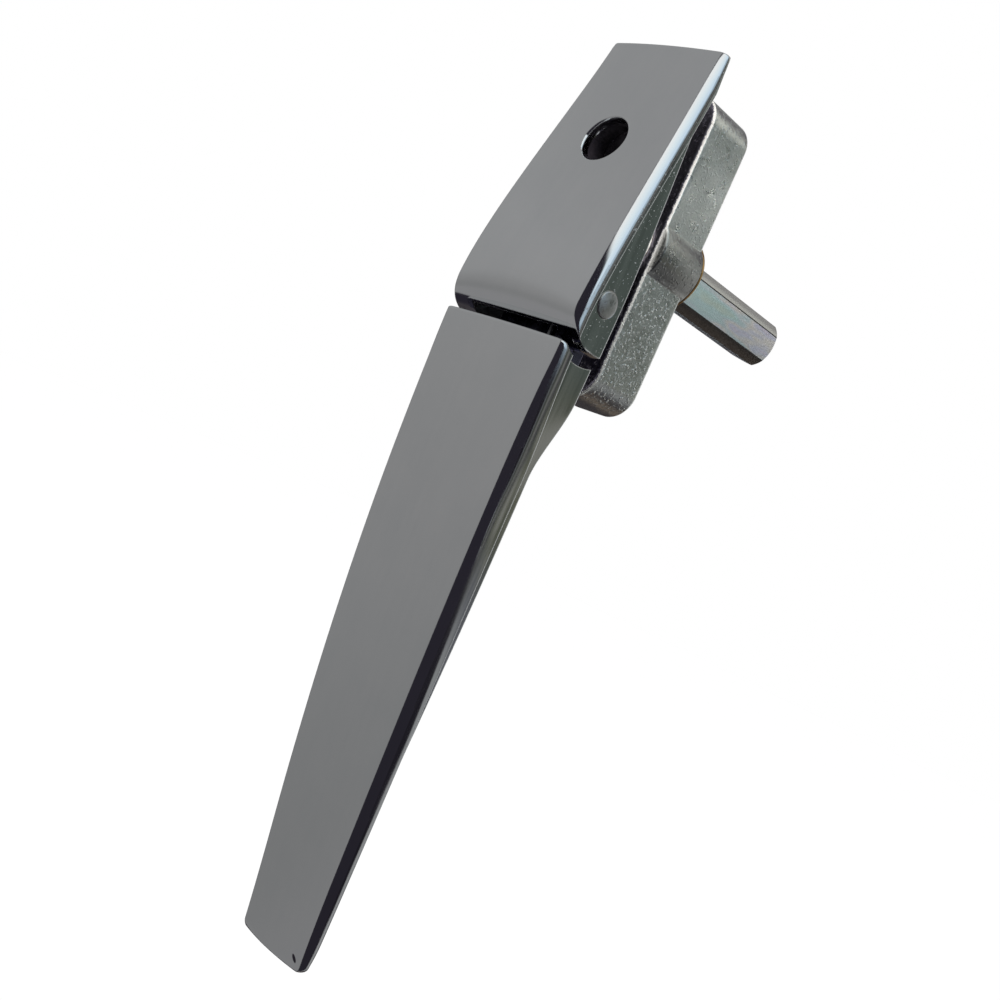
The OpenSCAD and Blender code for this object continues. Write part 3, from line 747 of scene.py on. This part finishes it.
world = bpy.data.worlds.new("studio")
bpy.context.scene.world = world
world.use_nodes = True
t = Tree(world.node_tree)
world.node_tree.nodes.clear()
way = t.add("ShaderNodeSeparateXYZ", ("Vector", t.add("ShaderNodeTexCoord").outputs["Generated"]))
turn = t.math("DIVIDE", t.math("ARCTAN2", way.outputs["Y"], way.outputs["X"]), 2 * math.pi)
turn = t.math("ADD", turn, 0.5)
height = t.math("MULTIPLY_ADD", way.outputs["Z"], 0.5, 0.5)
BLACK = (0.022, 0.02, 0.028)
GREEN = (0.1, 0.122, 0.112)
z = way.outputs["Z"]
front_left = t.ramp(height, [
    (0.1, (0.26, 0.26, 0.267)), (0.22, (0.26, 0.26, 0.265)), (0.28, (0.236, 0.238, 0.24)),
    (0.34, (0.236, 0.238, 0.24)), (0.45, (0.262, 0.263, 0.265)), (0.53, (0.278, 0.28, 0.282)),
    (0.62, (0.31, 0.313, 0.316)), (0.7, (0.322, 0.326, 0.33)), (0.78, (0.302, 0.306, 0.31)),
    (0.9, (0.31, 0.314, 0.318))])
# Low down it is dark, which darkens the lip of the nose.
side = t.math("SUBTRACT", turn, t.math("GREATER_THAN", turn, 0.5))
under = t.math("ADD", side, t.math("MULTIPLY_ADD", z, 0.2, 0.097))
under = t.math("MULTIPLY", t.step(under, 0.006, -0.006), t.step(z, -0.4, -0.45))
front_left = t.blend(under, front_left, BLACK)
# The dark front right ends upwards at a slanting line, above which it is white.
rise = t.level(turn, [
    (0.17, 0.62), (0.364, 0.51), (0.479, 0.38), (0.507, 0.32), (0.523, 0.25), (0.538, 0.19),
    (0.56, 0.12), (0.6, 0.1)])
white = t.ramp(turn, [
    (0.2, (1.0, 1.0, 1.0)), (0.4, (0.97, 1.0, 1.0)), (0.5, (0.82, 0.94, 1.0)), (0.58, (0.6, 0.76, 0.92))])
front_right = t.blend(t.step(t.math("SUBTRACT", z, rise), -0.02, 0.02), BLACK, white)
front_right = t.blend(t.step(turn, 0.32, 0.34), BLACK, front_right)
# To the rear it ends at a line that bends with the height, and past that line come narrow stripes.
limit = t.level(height, [
    (0.3, 0.6), (0.365, 0.617), (0.42, 0.594), (0.445, 0.548), (0.46, 0.546), (0.5, 0.575),
    (0.545, 0.598), (0.6, 0.588)])
past = t.math("SUBTRACT", turn, limit)
stripes = t.ramp(t.math("MULTIPLY_ADD", past, 20.0, 0.2), [
    (0.2, (0.34, 0.36, 0.38)), (0.28, (0.08, 0.085, 0.08)), (0.44, (0.095, 0.1, 0.092)),
    (0.54, (0.29, 0.29, 0.28)), (0.62, (0.16, 0.16, 0.16)), (0.7, (0.028, 0.024, 0.036)),
    (0.84, (0.07, 0.08, 0.07))])
low = t.ramp(height, [(0.33, (0.42, 0.425, 0.44)), (0.4, (0.36, 0.37, 0.385)), (0.44, (0.14, 0.145, 0.16))])
stripes = t.blend(t.step(z, -0.1, -0.16), stripes, low)
patch = t.noise(t.stretch(t.add("ShaderNodeTexCoord").outputs["Generated"], (9, 9, 30)), 1.0, 2.0)
beige = t.ramp(patch, [(0.36, (0.08, 0.09, 0.085)), (0.5, (0.16, 0.165, 0.12)), (0.6, (0.3, 0.3, 0.28))])
floor_glow = t.ramp(height, [
    (0.15, (0.04, 0.036, 0.034)), (0.27, (0.14, 0.148, 0.165)), (0.36, (0.2, 0.21, 0.235)),
    (0.435, (0.17, 0.176, 0.2))])
brown = t.blend(t.step(turn, 0.7, 0.75), BLACK, (0.16, 0.13, 0.11))
floor_glow = t.blend(t.step(turn, 0.645, 0.665), floor_glow, brown)
rear = t.blend(t.step(z, -0.13, -0.08), floor_glow, beige)
rear = t.blend(t.step(z, 0.06, 0.12), rear, GREEN)
above = t.ramp(turn, [(0.67, (0.75, 0.76, 0.72)), (0.74, (0.12, 0.11, 0.13))])
rear = t.blend(t.step(z, 0.36, 0.5), rear, above)
# A pale area straight behind the object.
pale = t.math("MULTIPLY", t.step(z, -0.36, -0.28), t.step(z, 0.4, 0.32))
pale = t.math("MULTIPLY", pale, t.math("MULTIPLY", t.step(turn, 0.672, 0.69), t.step(turn, 0.81, 0.79)))
rear = t.blend(pale, rear, (0.72, 0.73, 0.74))
left = t.blend(t.step(z, 0.3, 0.45), (0.05, 0.045, 0.05), front_left)
seen = t.blend(t.step(past, -0.004, 0.002), front_right, stripes)
seen = t.blend(t.step(past, 0.026, 0.036), seen, rear)
seen = t.blend(t.step(turn, 0.8, 0.83), seen, left)
seen = t.blend(t.step(turn, 0.95, 0.985), seen, front_left)
seen = t.blend(t.step(turn, 0.285, 0.3), front_left, seen)
path = t.add("ShaderNodeLightPath")
metal = t.math("MAXIMUM", path.outputs["Is Glossy Ray"], path.outputs["Is Transmission Ray"])
colour = t.blend(metal, (0.45, 0.455, 0.46), seen)
colour = t.blend(path.outputs["Is Camera Ray"], colour, (1.0, 1.0, 1.0))
back = t.add("ShaderNodeBackground", ("Color", colour))
t.add("ShaderNodeOutputWorld", ("Surface", back.outputs[0]))

corners = [(x * FLOOR_HALF, y * FLOOR_HALF, FLOOR_Z) for x, y in ((-1, -1), (1, -1), (1, 1), (-1, 1))]
floor = put("floor", corners, [(0, 1, 2, 3)], smooth=False)
m = bpy.data.materials.new("floor")
m.use_nodes = True
t = Tree(m.node_tree)
m.node_tree.nodes.clear()
path = t.add("ShaderNodeLightPath")
pale = t.add("ShaderNodeBsdfDiffuse", i_Color=(0.85, 0.85, 0.85, 1))
glow = t.add("ShaderNodeEmission", i_Color=(1, 1, 1, 1), i_Strength=1.02)
both = t.add("ShaderNodeMixShader", (0, t.math("MULTIPLY", path.outputs["Is Camera Ray"], 0.97)),
             (1, pale.outputs[0]), (2, glow.outputs[0]))
t.add("ShaderNodeOutputMaterial", ("Surface", both.outputs[0]))
floor.data.materials.clear()
floor.data.materials.append(m)
floor.visible_glossy = False


def lamp(name, at, size, power):
    data = bpy.data.lights.new(name, "AREA")
    data.shape, data.size, data.energy = "DISK", size, power
    obj = bpy.data.objects.new(name, data)
    obj.location = at
    obj.rotation_mode = "QUATERNION"
    obj.rotation_quaternion = (Vector((0, 0, -0.02)) - Vector(at)).to_track_quat("-Z", "Y")
    bpy.context.scene.collection.objects.link(obj)
    obj.visible_glossy = False
    return obj


# A small lamp that lights the base alone.
glint = lamp("glint", (0.097, 0.115, 0.051), 0.01, 0.0014)
glint.visible_glossy = True
glint.light_linking.receiver_collection = bpy.data.collections.new("glint_on")
glint.light_linking.receiver_collection.objects.link(base)
lamp("key", (0.5, -0.25, 0.6), 0.5, 10)
lamp("fill", (-0.6, -0.6, 0.3), 0.8, 6)
lamp("rear", (0.5, 0.6, 0.3), 0.4, 5)

# Camera

camera = bpy.data.cameras.new("camera")
camera.lens, camera.sensor_width = 49.70, 36.0
camera.clip_start, camera.clip_end = 0.01, 20
eye = bpy.data.objects.new("camera", camera)
bpy.context.scene.collection.objects.link(eye)
forward = Vector((-0.69042545, 0.72334849, 0.00892494)).normalized()
up = Vector((-0.29032794, -0.28837178, 0.91244255))
right = forward.cross(up).normalized()
up = right.cross(forward)
eye.matrix_world = Matrix((
    (right.x, up.x, -forward.x, 0.18817), (right.y, up.y, -forward.y, -0.19827),
    (right.z, up.z, -forward.z, -0.05912), (0, 0, 0, 1)))
bpy.context.scene.camera = eye
bpy.context.scene.view_settings.view_transform = "Standard"
